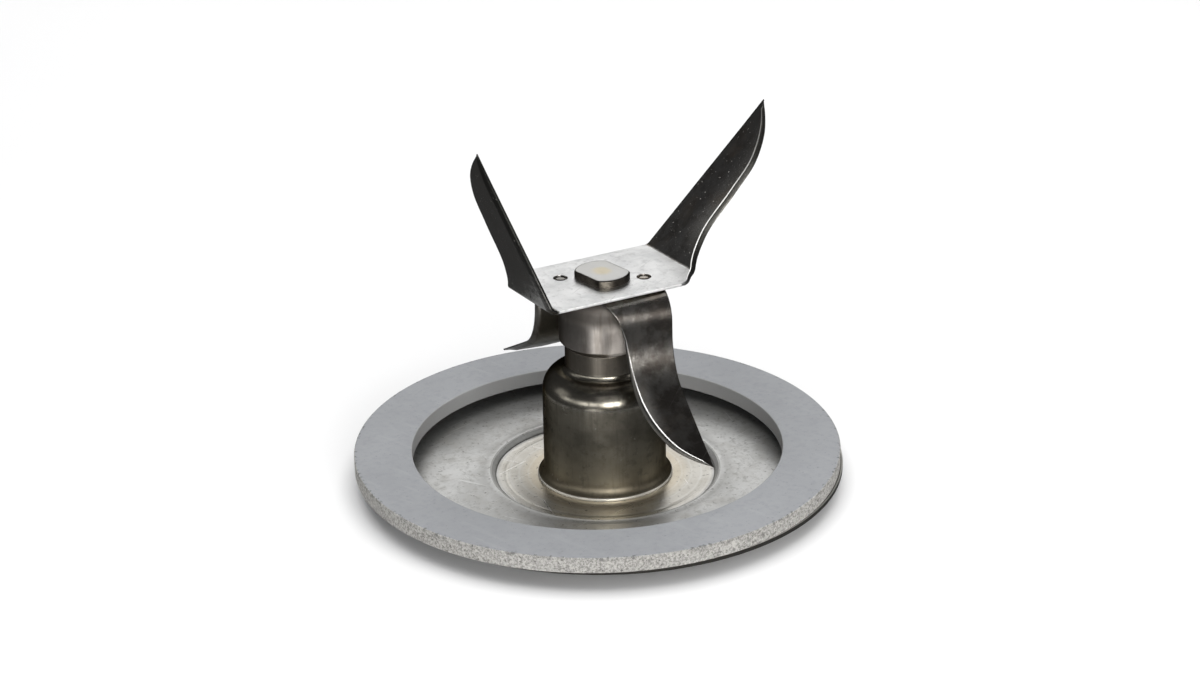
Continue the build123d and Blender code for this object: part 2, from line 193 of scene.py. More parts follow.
# Upper blade, the same way; its arms are folded up by different angles
UPPER_TOP = LOWER_TOP + BLADE_SHEET
UPPER_HALF_WIDTH = 8.28
UPPER_FOLD = 13.02
UPPER_SKEW = 4.2
UPPER_BEND_RADIUS = 1.3
UPPER_BENDS = {1: 44.8, -1: 67.5}
UPPER_ROOT = (9.3, -8.28)
UPPER_ROOT_LINE = (11.4, -6.8)
UPPER_ROOT_SLOPE = 48.5
UPPER_ROOT_STEPS = (1.6, 3.6)
UPPER_LEAD = [(18.5, -1.2), (27.0, -0.1), (32.5, 0.7), (37.5, 3.65), (41.66, 8.28)]
UPPER_TIP_SLOPE = 50
UPPER_CLOSING = 0.82

# Camera at the photograph's place
CAMERA_PLACE = (-199.22, -376.25, 214.09)
CAMERA_AIM = (2.86, 6.45, 20.76)
CAMERA_ROLL = -0.0164
CAMERA_LENS = 90.5
CAMERA_SENSOR = 36

# Stage
FLOOR_HALF = 1600
LIGHTS_AIM = 20
REFLECTOR_SIZE = (22, 50)
REFLECTOR_AWAY = 64
REFLECTOR_HEIGHT = 3
REFLECTOR_TURN = -16


class Val:
    """A number that changes over a surface. Arithmetic on it adds Math nodes to its finish."""

    def __init__(self, finish, socket):
        self.finish = finish
        self.socket = socket

    def math(self, operation, first, second):
        return self.finish.node("ShaderNodeMath", {"operation": operation}, {0: first, 1: second})

    def __add__(self, other):
        return self.math("ADD", self, other)

    def __radd__(self, other):
        return self.math("ADD", other, self)

    def __sub__(self, other):
        return self.math("SUBTRACT", self, other)

    def __rsub__(self, other):
        return self.math("SUBTRACT", other, self)

    def __mul__(self, other):
        return self.math("MULTIPLY", self, other)

    def __rmul__(self, other):
        return self.math("MULTIPLY", other, self)

    def __pow__(self, other):
        return self.math("POWER", self, other)


class Finish:
    """One procedural material on a Principled shader, read in Object coordinates."""

    def __init__(self, name, **constants):
        self.material = bpy.data.materials.new(name)
        self.material.use_nodes = True
        self.tree = self.material.node_tree
        self.shader = self.tree.nodes["Principled BSDF"]
        self.place = self.node("ShaderNodeTexCoord", output="Object")
        for socket, value in constants.items():
            self.shader.inputs[socket.replace("_", " ")].default_value = value

    def node(self, kind, settings=None, inputs=None, output=0):
        """Adds one node: its settings first, then its sockets. Returns one of its outputs."""
        made = self.tree.nodes.new(kind)
        for key, value in (settings or {}).items():
            setattr(made, key, value)
        for key, value in (inputs or {}).items():
            self.feed(made.inputs[key], value)
        return Val(self, made.outputs[output])

    def feed(self, socket, value):
        """Links a value to a socket, or sets a constant on it."""
        if isinstance(value, Val):
            self.tree.links.new(value.socket, socket)
        else:
            socket.default_value = value

    def wear(self, scale, detail=4.0, roughness=0.55, stretch=(1, 1, 1), turn=0.0, offset=(0, 0, 0)):
        """Noise of about 1/scale metres, stretched along the axes and turned about Z."""
        where = self.node("ShaderNodeMapping", {"vector_type": "TEXTURE"}, {
            "Vector": self.place, "Location": offset, "Rotation": (0, 0, radians(turn)), "Scale": stretch,
        })
        return self.node("ShaderNodeTexNoise", {}, {
            "Vector": where, "Scale": scale, "Detail": detail, "Roughness": roughness,
        })

    def rise(self, value, low, high):
        """0 below low, 1 above high, smooth between them."""
        return self.node("ShaderNodeMapRange", {"interpolation_type": "SMOOTHSTEP"}, {
            "Value": value, "From Min": low, "From Max": high,
        })

    def band(self, value, low, full, ebb, high):
        """Rises from low to full, and falls again from ebb to high."""
        return self.rise(value, low, full) * (1 - self.rise(value, ebb, high))

    def coats(self, colour, *coats):
        """A colour with (colour, share) coats laid over it in turn."""
        for tint, share in coats:
            sides = {0: share}
            for key, side in ((6, colour), (7, tint)):
                sides[key] = side if isinstance(side, Val) else (*side, 1.0)
            colour = self.node("ShaderNodeMix", {"data_type": "RGBA"}, sides, output=2)
        return colour

    def axis(self, number):
        """One Object coordinate, in millimetres."""
        return self.node("ShaderNodeSeparateXYZ", {}, {0: self.place}, output=number) * (1 / MM)

    def line(self, value, centre, half):
        """1 where a value is at the centre, falling to 0 at half a width each side."""
        return self.band(value, centre - half, centre, centre, centre + half)

    def distance(self, centre=(0, 0)):
        """Distance from a vertical axis, in millimetres."""
        across = self.axis(0) - centre[0]
        along = self.axis(1) - centre[1]
        return (across * across + along * along) ** 0.5

    def noted(self, name):
        """A number stored on the mesh."""
        return self.node("ShaderNodeAttribute", {"attribute_name": name}, {}, output="Fac")

    def scratches(self, turn, low=0.66, high=0.72, offset=(0, 0, 0)):
        """Thin scratches in one direction, as a mask."""
        return self.rise(self.wear(78, 2.0, 0.5, (1, 0.03, 1), turn, offset), low, high)

    def finished(self, colour, roughness, height, depth, strength, metallic=None):
        """Links the varying sockets; depth is the bump's height in millimetres."""
        self.feed(self.shader.inputs["Base Color"], colour)
        self.feed(self.shader.inputs["Roughness"], roughness)
        if metallic is not None:
            self.feed(self.shader.inputs["Metallic"], metallic)
        normal = self.node("ShaderNodeBump", {}, {
            "Strength": strength, "Distance": depth * MM, "Height": height,
        })
        self.feed(self.shader.inputs["Normal"], normal)
        return self.material


def plate_steel():
    """Dull pale stainless sheet, pitted and scratched; smoother in the recess. Painted shade darkens the
    creases and the dip at the recess lip, the plate under the ring's bore and the rim; a painted reflection
    of the housing tints the recess near the foot; painted highlights lighten the recess wall and the flange's
    outer edge.
    """
    f = Finish("plate_steel")
    stain = f.wear(70, 4, 0.6)
    cloud = f.wear(330, 5, 0.6)
    mottle = f.wear(1100, 4, 0.7)
    grain = f.wear(4200, 3, 0.7)
    pits = f.rise(f.wear(1500, 3, 0.6), 0.62, 0.72)
    marks = f.scratches(20) + f.scratches(-55, offset=(0.01, 0.02, 0)) + f.scratches(80, 0.68, 0.74)
    radius = f.distance()
    height = f.axis(2)
    recess = 1 - f.rise(radius, RECESS_RADII[0] - 0.6, RECESS_RADII[0])
    # Painted highlight: the recess wall and lip bead are made lighter and less metallic
    wall = f.band(radius, RECESS_RADII[0] + 0.05, RECESS_RADII[0] + 0.3, LIP_BEAD - 0.2, LIP_BEAD + 0.4)
    # Painted shade: a darker band in the dip beyond the lip bead
    dip_shade = f.band(radius, LIP_BEAD + 0.2, LIP_BEAD + 0.8, LIP_BEAD + 0.9, LIP_BEAD + 2.4)
    # Painted shade: dark lines at the foot and the top of the recess wall
    crease_shade = f.line(radius, RECESS_RADII[0] + 0.02, 0.17) + 0.8 * f.line(radius, RECESS_RADII[1] + 0.15, 0.15)
    # Painted reflection of the housing: a golden tint on the recess close to the foot
    foot_reflection = 1 - f.rise(radius, FOOT_RADIUS + 0.5, FOOT_RADIUS + 3.5)
    waves = f.node("ShaderNodeMath", {"operation": "SINE"}, {0: radius * 4.2 + cloud * 2.0})
    rings = f.rise(waves, 0.6, 1.0)
    # Painted shade: the flange's outer rim is made dark
    rim = f.rise(radius, PLATE_RADIUS - 1.3, PLATE_RADIUS - 0.7)
    # Painted highlight: a pale line along the flange's outer top edge
    painted_highlight = f.rise(radius, PLATE_RADIUS - 0.25, PLATE_RADIUS - 0.1)
    painted_highlight = painted_highlight * f.rise(height, FLANGE_TOP - 0.16, FLANGE_TOP - 0.08)
    shaded = f.rise(radius, RING_BORE - 1.4, RING_BORE + 0.9)
    colour = f.coats(
        (0.55, 0.55, 0.536),
        ((0.745, 0.745, 0.73), f.rise(stain, 0.35, 0.65)),
        ((0.54, 0.53, 0.50), f.rise(cloud, 0.42, 0.72) * 0.7),
        ((0.40, 0.395, 0.37), f.rise(mottle, 0.48, 0.70) * 0.6),
        ((0.68, 0.62, 0.50), recess * 0.4),
        ((0.70, 0.58, 0.38), recess * foot_reflection * 0.45),
        ((0.86, 0.86, 0.84), rings * recess * 0.2),
        ((0.66, 0.66, 0.64), wall * 0.6),
        ((0.13, 0.12, 0.105), pits * 0.65),
        ((0.88, 0.88, 0.87), marks * 0.4),
        ((0.45, 0.445, 0.425), dip_shade * 0.4),
        ((0.11, 0.105, 0.09), crease_shade * (0.45 + 0.5 * cloud)),
        ((0.14, 0.14, 0.135), shaded * 0.5),
        ((0.09, 0.085, 0.07), rim * 0.85),
        ((0.80, 0.79, 0.74), painted_highlight * 0.8),
    )
    rough = 0.27 + 0.14 * grain + 0.12 * cloud - 0.08 * marks - 0.08 * recess
    metal = 0.87 + 0.08 * recess - 0.24 * wall
    return f.finished(colour, rough, grain * 0.5 + mottle * 0.5 - pits - marks * 0.4, 0.02, 0.3, metal)


def ring_rubber():
    """Grey moulded rubber: matt top with faint strokes, nicked edge, rough speckled outer side."""
    f = Finish("grey_rubber", Metallic=0.0, Specular_IOR_Level=0.35)
    radius = f.distance(RING_CENTRE)
    height = f.axis(2)
    coarse = f.wear(2700, 4, 0.75)
    ragged = 0.10 * (coarse - 0.5)
    side = f.rise(radius + ragged, RING_RADIUS - 0.16, RING_RADIUS - 0.05)
    # Painted light: the bore wall is made lighter than the top
    lit_bore = 1 - f.rise(radius, RING_BORE + 0.02, RING_BORE + 0.2)
    cloud = f.wear(90, 5, 0.65)
    mottle = f.wear(900, 4, 0.7)
    grain = f.wear(5200, 2, 0.6)
    specks = f.rise(f.wear(2300, 2, 0.5), 0.68, 0.74)
    holes = f.rise(f.wear(2100, 3, 0.6), 0.60, 0.68)
    edge = f.rise(radius, RING_RADIUS - 0.6, RING_RADIUS - 0.25)
    edge = edge * f.rise(height, RING_TOP - 0.75, RING_TOP - 0.35)
    nicks = f.rise(f.wear(1350, 3, 0.6), 0.565, 0.63) * edge
    strokes = f.rise(f.wear(520, 3, 0.55, (1, 9, 1), 20), 0.54, 0.72)
    face = f.coats(
        (0.282, 0.290, 0.303),
        ((0.306, 0.314, 0.327), f.rise(cloud, 0.35, 0.65)),
        ((0.235, 0.242, 0.255), f.rise(mottle, 0.45, 0.75) * 0.5),
        ((0.36, 0.366, 0.378), strokes * 0.3),
        ((0.15, 0.153, 0.16), specks * 0.5),
    )
    rind = f.coats(
        (0.17, 0.166, 0.156),
        ((0.49, 0.48, 0.456), f.rise(coarse, 0.32, 0.66)),
        ((0.07, 0.067, 0.063), holes * 0.75),
    )
    colour = f.coats(
        face,
        (rind, side),
        ((0.34, 0.34, 0.335), lit_bore * 0.8),
        ((0.07, 0.07, 0.07), nicks * 0.7),
    )
    rough = 0.55 + 0.12 * grain + 0.25 * side
    relief = (grain * 0.25 + mottle * 0.15) * (1 - side) + (coarse * 1.6 - holes * 0.8) * side
    return f.finished(colour, rough, relief, 0.06, 0.6)


def housing_steel():
    """Warm drawn steel: streaked barrel, polished shoulder, browned neck. A golden lower barrel is a painted
    reflection of the plate, the darker flare is painted shade and the bright foot lip is a painted highlight.
    """
    f = Finish("housing_steel", Specular_Tint=(0.10, 0.09, 0.08, 1))
    height = f.axis(2)
    draw = f.wear(1300, 4, 0.6, (1, 1, 16))
    cloud = f.wear(190, 5, 0.65)
    mottle = f.wear(700, 4, 0.65)
    grain = f.wear(3600, 3, 0.6)
    pits = f.rise(f.wear(1300, 2, 0.5), 0.70, 0.76)
    # Painted reflection of the plate: the lower barrel is tinted golden
    low = 1 - f.rise(height + 3.0 * cloud, 2.0, 13.0)
    polished = f.rise(height, SHOULDER_TOP - SHOULDER_RADIUS - 0.8, SHOULDER_TOP - SHOULDER_RADIUS + 0.4)
    neck = f.rise(height, SHOULDER_TOP + 0.5, SHOULDER_TOP + 1.3)
    # Painted highlight: the foot lip is made near white, smoother and partly diffuse
    lip = 1 - f.rise(height, FOOT_BOTTOM + FOOT_LIP - 0.02, FOOT_BOTTOM + FOOT_LIP + 0.12)
    # Painted shade: the flare above the foot lip is made darker and rougher
    flare = (1 - lip) * (1 - f.rise(height, FOOT_BOTTOM + FOOT_LIP + 1.0, FOOT_BOTTOM + FOOT_LIP + 2.4))
    colour = f.coats(
        (0.20, 0.184, 0.150),
        ((0.33, 0.305, 0.250), f.rise(cloud, 0.35, 0.65)),
        ((0.60, 0.53, 0.385), low * 0.55),
        ((0.20, 0.178, 0.152), neck * 0.8),
        ((0.36, 0.34, 0.29), polished * (1 - neck) * 0.6),
        ((0.15, 0.135, 0.11), f.rise(draw, 0.48, 0.72) * 0.5),
        ((0.13, 0.118, 0.096), f.rise(mottle, 0.52, 0.70) * 0.45),
        ((0.15, 0.125, 0.085), flare * 0.6),
        ((0.90, 0.87, 0.79), lip * 0.9),
        ((0.70, 0.68, 0.61), pits * 0.4),
    )
    rough = 0.28 + 0.10 * draw + 0.08 * mottle - 0.13 * polished * (1 - neck) - 0.12 * lip + 0.06 * flare
    relief = (draw * 0.6 + mottle * 0.4 + grain * 0.2) * (1 - 0.8 * polished * (1 - neck))
    return f.finished(colour, rough, relief, 0.012, 0.3, 1 - 0.45 * lip)


def collar_steel():
    """Satin turned steel, brown-grey. Painted shade darkens its upper end under the blades and one side; a
    painted highlight makes a patch on the other side less metallic.
    """
    f = Finish("collar_steel", Specular_Tint=(0.12, 0.11, 0.10, 1))
    along, away, height = [f.axis(i) for i in range(3)]
    turned_lines = f.wear(900, 4, 0.65, (14, 14, 0.5))
    streak = f.wear(1100, 3, 0.6, (1, 1, 10))
    cloud = f.wear(260, 4, 0.6)
    # Painted shade: the collar's upper end under the blades is darker and rougher
    shade_under_blades = f.rise(height + 1.4 * cloud, COLLAR_TOP - 3.9, COLLAR_TOP - 2.2)
    side = along * 0.88 + away * -0.47 + 2.0 * cloud - 1.0
    # Painted shade: the collar is darker on one side
    stain = 1 - f.rise(side, -4.6, -0.6)
    # Painted highlight: a patch on the other side is made less metallic so it shows diffuse light
    painted_highlight = f.band(side, 0.2, 2.0, 3.6, 5.2) * (1 - shade_under_blades)
    colour = f.coats(
        (0.50, 0.455, 0.415),
        ((0.68, 0.635, 0.585), f.rise(cloud, 0.3, 0.7)),
        ((0.30, 0.26, 0.22), f.rise(streak, 0.48, 0.70) * 0.55),
        ((0.19, 0.175, 0.158), stain * 0.62),
        ((0.10, 0.09, 0.08), shade_under_blades * 0.75),
    )
    rough = 0.26 + 0.10 * turned_lines + 0.08 * streak + 0.3 * shade_under_blades
    metal = 1 - 0.65 * painted_highlight * (0.5 + streak)
    return f.finished(colour, rough, turned_lines * 0.7 + streak * 0.3, 0.012, 0.3, metal)


def blade_steel():
    """Polished blade sheet with a ground leading edge. Painted reflections and shade: the arms, the lower
    arms, the underside, the arms' cut edges and the bevel are given darker colours than the pale flat; the
    ridge line and the sheen beside the leading edges are painted highlights.
    """
    f = Finish("blade_steel")
    arm = f.noted("arm")
    reach = f.noted("reach")
    lead = f.noted("lead")
    ridge = f.noted("ridge")
    ground = f.noted("ground")
    cut = f.noted("cut_edge")
    under = f.noted("under")
    height = f.axis(2)
    cloud = f.wear(170, 5, 0.65)
    mottle = f.wear(620, 5, 0.7)
    streak = f.wear(520, 4, 0.6, (1, 1, 6))
    grain = f.wear(4200, 3, 0.6)
    patches = f.wear(260, 4, 0.6, offset=(0.013, 0.004, 0.002))
    specks = f.rise(f.wear(2600, 2, 0.5), 0.695, 0.74)
    marks = f.scratches(35) + f.scratches(-30, 0.68, 0.74, (0.02, 0.01, 0))
    # Painted reflection: the arms are given a darker colour than the flat of the same sheet, standing for
    # their dark mirror images
    painted_dark_arms = f.rise(arm + 0.5 * mottle, 0.30, 0.62)
    on_arm = f.rise(arm, 0.0, 0.15)
    drooping = 1 - f.rise(height, LOWER_TOP - 1.6, LOWER_TOP - 0.4)
    # Painted sheen: both masks make the steel less metallic beside the leading edges, on the upper arms and
    # on the lower arms
    edge_sheen = f.rise(lead, 0.45, 1.0) * f.rise(reach, 0.05, 0.3) * (1 - under) * (1 - reach) * (1 - drooping)
    sheen = f.rise(lead, 0.6, 1.0) * f.rise(reach, 0.42, 0.54) * (1 - f.rise(reach, 0.62, 0.86)) * drooping
    faded = 0.75 * f.rise(reach, 0.35, 0.85) * (1 - drooping)
    ridge_highlight = (1 - faded) * (0.6 + 0.4 * f.rise(streak, 0.3, 0.6))
    flat = f.coats(
        (0.72, 0.725, 0.72),
        ((0.94, 0.94, 0.93), f.rise(cloud, 0.32, 0.68)),
        ((0.52, 0.52, 0.51), f.rise(mottle, 0.48, 0.70) * 0.6),
        ((0.36, 0.35, 0.33), specks * 0.6),
    )
    # Arm colour: painted dark reflection, with warm patches standing for warm reflections
    folded = f.coats(
        (0.46, 0.45, 0.425),
        ((0.34, 0.33, 0.31), f.rise(reach, 0.05, 0.9)),
        ((0.20, 0.18, 0.155), f.rise(streak, 0.42, 0.70) * 0.7),
        ((0.16, 0.15, 0.135), f.rise(mottle, 0.48, 0.72) * 0.5),
        ((0.62, 0.50, 0.38), f.rise(cloud, 0.5, 0.7) * 0.3),
        # Painted dark reflections: the lower blade's arms are darkened, in blotches
        ((0.13, 0.122, 0.112), drooping * (0.35 + 0.4 * cloud)),
        ((0.085, 0.073, 0.064), drooping * f.rise(patches, 0.42, 0.62) * 0.7),
        ((0.80, 0.78, 0.72), specks * (1 - drooping) * 0.6),
    )
    colour = f.coats(
        flat,
        (folded, painted_dark_arms),
        # Painted shade: the sheet's underside is darker
        ((0.30, 0.29, 0.255), under * 0.75),
        ((0.42, 0.41, 0.39), marks * 0.3),
        # Painted shade: the cut edges on the upper blade's arms are darkened
        ((0.12, 0.116, 0.105), cut * on_arm * (1 - drooping) * 0.8),
        # Painted dark reflection: the ground bevel is darkened
        ((0.15, 0.145, 0.13), ground * 0.85),
        # Painted highlight: a near-white, less metallic line along the bevel's ridge, fading towards the
        # upper arms' tips
        ((0.98, 0.975, 0.95), ridge * ridge_highlight),
    )
    rough = 0.13 + 0.06 * grain + 0.1 * streak + 0.14 * (1 - f.rise(arm, 0.0, 0.5)) + 0.1 * ridge
    rough = rough + 0.11 * drooping * (1 - ridge)
    metal = 1 - 0.85 * ridge * (1 - faded) - 0.75 * cut * (1 - on_arm) - 0.22 * edge_sheen * (0.4 + mottle)
    metal = metal - 0.4 * specks * arm * (1 - drooping)
    metal = metal - 0.025 * drooping * (1 - under) * (1 - ground) * (1 - ridge) * (1 - reach)
    metal = metal - 0.34 * sheen * (1 - under) * (1 - ground) * (0.4 + mottle)
    relief = grain * 0.06 - marks * 0.08 + mottle * (0.1 + 0.6 * arm) + patches * arm * 1.2
    return f.finished(colour, rough, relief, 0.12, 0.6, metal)


def shaft_steel():
    """Peened shaft end: pale worn top with a warm-tinted middle, and sides painted very dark as shade."""
    f = Finish("shaft_steel", Metallic=1.0)
    height = f.axis(2)
    radius = f.distance()
    cloud = f.wear(500, 4, 0.6)
    hammer = f.wear(1500, 3, 0.55)
    turned = f.wear(800, 4, 0.65, (12, 12, 0.5))
    middle = 1 - f.rise(radius, 1.0, 1.8)
    top = f.rise(height + 0.1 * middle, HEAD_TOP - 0.05, HEAD_TOP - 0.012)
    warm = 1 - f.rise(radius + 1.6 * cloud, 1.5, 2.9)
    # Painted shade: outside the top, the steel is given a very dark colour
    colour = f.coats(
        (0.07, 0.062, 0.052),
        ((0.15, 0.135, 0.112), f.rise(cloud, 0.35, 0.65)),
        ((0.70, 0.695, 0.67), top),
        ((0.80, 0.70, 0.48), top * warm * 0.7),
    )
    rough = 0.28 + 0.12 * hammer + 0.06 * turned
    return f.finished(colour, rough, hammer + turned * (1 - top) * 0.3, 0.03, 0.35)


def bush_bronze():
    """Sintered bronze, oiled and open-grained."""
    f = Finish("bush_bronze", Metallic=1.0)
    cloud = f.wear(300, 4, 0.6)
    grain = f.wear(4500, 3, 0.7)
    pores = f.rise(f.wear(2600, 2, 0.5), 0.62, 0.7)
    colour = f.coats(
        (0.42, 0.25, 0.11),
        ((0.58, 0.37, 0.17), f.rise(cloud, 0.35, 0.65)),
        ((0.16, 0.09, 0.04), pores * 0.7),
    )
    return f.finished(colour, 0.36 + 0.2 * grain, grain * 0.5 - pores, 0.02, 0.5)


def oiled_felt():
    """Pressed wool felt, dark with oil."""
    f = Finish("oiled_felt", Metallic=0.0, Sheen_Weight=0.35, Sheen_Roughness=0.6)
    fibres = f.wear(2400, 5, 0.75, (1, 1, 0.4))
    cloud = f.wear(280, 4, 0.6)
    colour = f.coats(
        (0.10, 0.085, 0.06),
        ((0.22, 0.19, 0.14), f.rise(fibres, 0.3, 0.7)),
        ((0.07, 0.055, 0.035), f.rise(cloud, 0.5, 0.7) * 0.6),
    )
    return f.finished(colour, 0.75 + 0.2 * fibres, fibres, 0.12, 0.8)


def seal_rubber():
    """Black moulded sealing rubber."""
    f = Finish("seal_rubber", Metallic=0.0)
    grain = f.wear(4000, 3, 0.6)
    cloud = f.wear(350, 3, 0.6)
    colour = f.coats((0.012, 0.012, 0.013), ((0.032, 0.032, 0.034), f.rise(cloud, 0.35, 0.65)))
    return f.finished(colour, 0.5 + 0.2 * grain, grain, 0.02, 0.4)


def washer_nylon():
    """Off-white nylon washer, rubbed smooth."""
    f = Finish("washer_nylon", Metallic=0.0, Subsurface_Weight=0.1)
    turned = f.wear(700, 3, 0.6, (8, 8, 0.5))
    cloud = f.wear(400, 4, 0.6)
    colour = f.coats((0.60, 0.57, 0.48), ((0.74, 0.71, 0.62), f.rise(cloud, 0.35, 0.65)))
    return f.finished(colour, 0.38 + 0.18 * turned, turned, 0.012, 0.3)


def sintered_steel():
    """Dark sintered steel with a porous skin and a polished socket rim."""
    f = Finish("sintered_steel", Metallic=1.0)
    height = f.axis(2)
    cloud = f.wear(240, 4, 0.6)
    grain = f.wear(3800, 4, 0.7)
    pores = f.rise(f.wear(2200, 2, 0.5), 0.63, 0.71)
    rim = 1 - f.rise(height, 0.45, 0.8)
    colour = f.coats(
        (0.17, 0.17, 0.175),
        ((0.27, 0.27, 0.275), f.rise(cloud, 0.35, 0.65)),
        ((0.05, 0.05, 0.05), pores * 0.8),
        ((0.46, 0.45, 0.43), rim * 0.5),
    )
    return f.finished(colour, 0.42 + 0.2 * grain - 0.1 * rim, grain * 0.5 - pores, 0.03, 0.5)


def floor_paper():
    """Plain pale studio paper."""
    f = Finish("floor_paper", Metallic=0.0, Specular_IOR_Level=0.1)
    grain = f.wear(900, 3, 0.6)
    cloud = f.wear(6, 2, 0.5)
    colour = f.coats((0.86, 0.86, 0.86), ((0.885, 0.885, 0.885), f.rise(cloud, 0.3, 0.7)))
    return f.finished(colour, 0.85 + 0.1 * grain, grain, 0.01, 0.1)


def arc(centre, radius, start, end, steps):
    """Points of an arc in a profile, angles in degrees."""
    turns = [radians(start + (end - start) * i / steps) for i in range(steps + 1)]
    return [(centre[0] + radius * cos(t), centre[1] + radius * sin(t)) for t in turns]


def rounded(corners):
    """A closed profile of (radius, height, corner radius) corners, each corner rounded."""
    outline = []
    for i, (x, z, turn_radius) in enumerate(corners):
        here = Vector((x, z))
        back = Vector(corners[i - 1][:2]) - here
        ahead = Vector(corners[(i + 1) % len(corners)][:2]) - here
        if turn_radius == 0:
            outline.append((x, z))
            continue
        opening = back.angle(ahead)
        reach = turn_radius / tan(opening / 2)
        start = here + back.normalized() * reach
        end = here + ahead.normalized() * reach
        inward = (back.normalized() + ahead.normalized()).normalized()
        middle = here + inward * (turn_radius / sin(opening / 2))
        steps = max(3, ceil((pi - opening) / radians(9)))
        spread = (start - middle).angle(end - middle)
        for j in range(steps + 1):
            share = j / steps
            point = (start - middle) * sin(spread * (1 - share)) + (end - middle) * sin(spread * share)
            outline.append(tuple(middle + point / sin(spread)))
    return outline


def turning_tree():
    """Geometry Nodes: a closed profile, x as radius and y as height, turned about a vertical axis."""
    tree = bpy.data.node_groups.new("turned_piece", "GeometryNodeTree")
    sockets = tree.interface
    for name, kind in (("Profile", "Geometry"), ("Steps", "Int"), ("Path radius", "Float"),
                       ("Axis", "Vector"), ("Finish", "Material")):
        sockets.new_socket(name, in_out="INPUT", socket_type="NodeSocket" + kind)
    sockets.new_socket("Piece", in_out="OUTPUT", socket_type="NodeSocketGeometry")
    add = tree.nodes.new
    given = add("NodeGroupInput")
    profile = add("GeometryNodeMeshToCurve")
    path = add("GeometryNodeCurvePrimitiveCircle")
    upright = add("GeometryNodeSetCurveNormal")
    upright.mode = "Z_UP"
    swept = add("GeometryNodeCurveToMesh")
    placed = add("GeometryNodeTransform")
    real = add("GeometryNodeRealizeInstances")
    painted = add("GeometryNodeSetMaterial")
    result = add("NodeGroupOutput")
    for source, output, target, socket in (
        (given, "Profile", profile, "Mesh"),
        (given, "Steps", path, "Resolution"),
        (given, "Path radius", path, "Radius"),
        (path, "Curve", upright, "Curve"),
        (upright, "Curve", swept, "Curve"),
        (profile, "Curve", swept, "Profile Curve"),
        (swept, "Mesh", placed, "Geometry"),
        (given, "Axis", placed, "Translation"),
        (placed, "Geometry", real, "Geometry"),
        (real, "Geometry", painted, "Geometry"),
        (given, "Finish", painted, "Material"),
        (painted, "Geometry", result, "Piece"),
    ):
        tree.links.new(source.outputs[output], target.inputs[socket])
    return tree


def linked(name, data):
    """A new object in the scene."""
    made = bpy.data.objects.new(name, data)
    bpy.context.scene.collection.objects.link(made)
    return made


def plain_mesh(piece):
    """Replaces an object's mesh by what its modifiers give, and removes the modifiers."""
    bpy.context.view_layer.update()
    seen = piece.evaluated_get(bpy.context.evaluated_depsgraph_get())
    result = bpy.data.meshes.new_from_object(seen)
    piece.modifiers.clear()
    piece.data = result


def smoothed(piece, sharp):
    """Faces outwards, smooth shading, edges over the sharp angle kept crisp."""
    work = bmesh.new()
    work.from_mesh(piece.data)
    bmesh.ops.remove_doubles(work, verts=work.verts, dist=1e-7)
    bmesh.ops.recalc_face_normals(work, faces=work.faces)
    work.to_mesh(piece.data)
    work.free()
    piece.data.shade_smooth()
    piece.data.set_sharp_from_angle(angle=radians(sharp))


def turned(name, outline, finish, steps, centre=(0, 0)):
    """A turned piece from its closed profile, by the turning tree."""
    path_radius = 0.001 * MM
    points = [(radius * MM - path_radius, -height * MM, 0) for radius, height in outline]
    edges = [(i, (i + 1) % len(points)) for i in range(len(points))]
    mesh = bpy.data.meshes.new(name)
    mesh.from_pydata(points, edges, [])
    piece = linked(name, mesh)
    modifier = piece.modifiers.new("turning", "NODES")
    modifier.node_group = TURNING
    values = {
        "Steps": steps,
        "Path radius": path_radius,
        "Axis": (centre[0] * MM, centre[1] * MM, 0),
        "Finish": finish,
    }
    for socket in TURNING.interface.items_tree:
        if socket.in_out == "INPUT" and socket.name in values:
            modifier[socket.identifier] = values[socket.name]
    plain_mesh(piece)
    smoothed(piece, 34)
    return piece


def sheet_underside(corners, sheet):
    """The same bent line one sheet thickness lower, as corners in the same order."""
    lower = []
    for i, here in enumerate(corners):
        here = Vector(here)
        before = here - Vector(corners[i - 1]) if i > 0 else Vector(corners[1]) - here
        after = Vector(corners[i + 1]) - here if i < len(corners) - 1 else before
        first = Vector((before.y, -before.x)).normalized()
        second = Vector((after.y, -after.x)).normalized()
        mitre = (first + second).normalized()
        lower.append(tuple(here + mitre * (sheet / mitre.dot(first))))
    return lower


def base_plate():
    """The pressed plate: centre hole, recess with its ring mark and lip, dish and flange."""
    recess = SHEET
    dish = SHEET + RECESS_DEPTH
    top = [
        (PLATE_HOLE, recess), (RECESS_RADII[0], recess), (RECESS_RADII[1], dish),
        (DISH_RADII[0], dish), (DISH_RADII[1], FLANGE_TOP), (PLATE_RADIUS, FLANGE_TOP),
    ]
    corners = [(*top[0], PLATE_EDGE)]
    corners += [(radius, recess + rise, MARK_ROUND) for radius, rise in RECESS_MARK]
    corners += [(*top[1], RECESS_CORNER)]
    corners += [(radius, dish + rise, bend) for radius, rise, bend in LIP_CORNERS]
    corners += [(*top[3], PLATE_BEND), (*top[4], PLATE_BEND), (*top[5], PLATE_EDGE)]
    under_bends = [PLATE_EDGE, *RECESS_UNDER, PLATE_BEND + SHEET, PLATE_EDGE, PLATE_EDGE]
    under = [(*point, bend) for point, bend in zip(sheet_underside(top, SHEET), under_bends)]
    return turned("base_plate_pressing", rounded(corners + under[::-1]), plate_steel(), steps=288)


def sealing_ring():
    """The flat rubber ring that lies on the flange."""
    corners = [
        (RING_BORE, FLANGE_TOP, RING_EDGE), (RING_RADIUS, FLANGE_TOP, RING_EDGE),
        (RING_RADIUS, RING_TOP, RING_EDGE), (RING_BORE, RING_TOP, RING_EDGE),
    ]
    return turned("sealing_ring_rubber", rounded(corners), ring_rubber(), steps=288, centre=RING_CENTRE)


